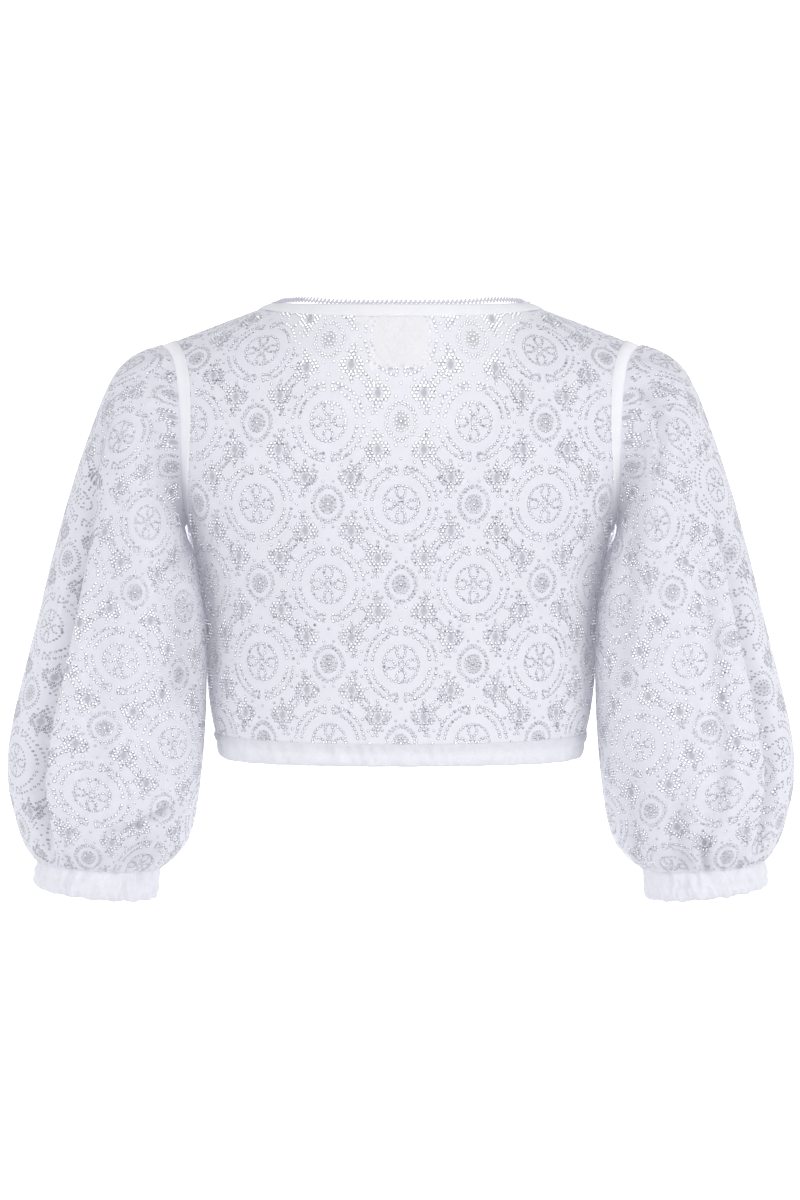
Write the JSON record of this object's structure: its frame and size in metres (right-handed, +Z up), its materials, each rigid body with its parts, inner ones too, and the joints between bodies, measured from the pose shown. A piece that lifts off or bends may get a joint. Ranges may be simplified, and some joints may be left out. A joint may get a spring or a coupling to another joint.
{
  "type": "dirndl blouse",
  "caption": "Cropped openwork-lace dirndl blouse with balloon sleeves, elasticated cuffs and hem, wide bound neck with picot edging, hollow as worn",
  "frame": {"origin": "The middle of the neck opening, level with the neck ends of the shoulder seams, where the wearer's shoulders carry the blouse.", "axes": "+X is the wearer's right, +Y the wearer's front, +Z up. The back, which the picture shows, faces -Y."},
  "size_m": [0.6549, 0.2354, 0.4935],
  "materials": {
    "back_panel": "openwork lace",
    "front_panel": "openwork lace",
    "sleeve_left": "openwork lace",
    "sleeve_right": "openwork lace",
    "cuff_left": "doubled lace, gathered",
    "cuff_right": "doubled lace, gathered",
    "hem_casing": "doubled lace, gathered",
    "neck_binding": "plain knitted band",
    "neck_picot_edge": "picot edging",
    "armhole_band_left": "plain knitted band",
    "armhole_band_right": "plain knitted band",
    "neck_label": "smooth woven, blank",
    "size_tab": "smooth woven, blank"
  },
  "bodies": {
    "root": {"back_panel": "back_panel", "front_panel": "front_panel", "sleeve_left": "sleeve_left", "sleeve_right": "sleeve_right", "cuff_left": "cuff_left", "cuff_right": "cuff_right", "hem_casing": "hem_casing", "neck_binding": "neck_binding", "neck_picot_edge": "neck_picot_edge", "armhole_band_left": "armhole_band_left", "armhole_band_right": "armhole_band_right", "neck_label": "neck_label", "size_tab": "size_tab"}
  },
  "joints": []
}
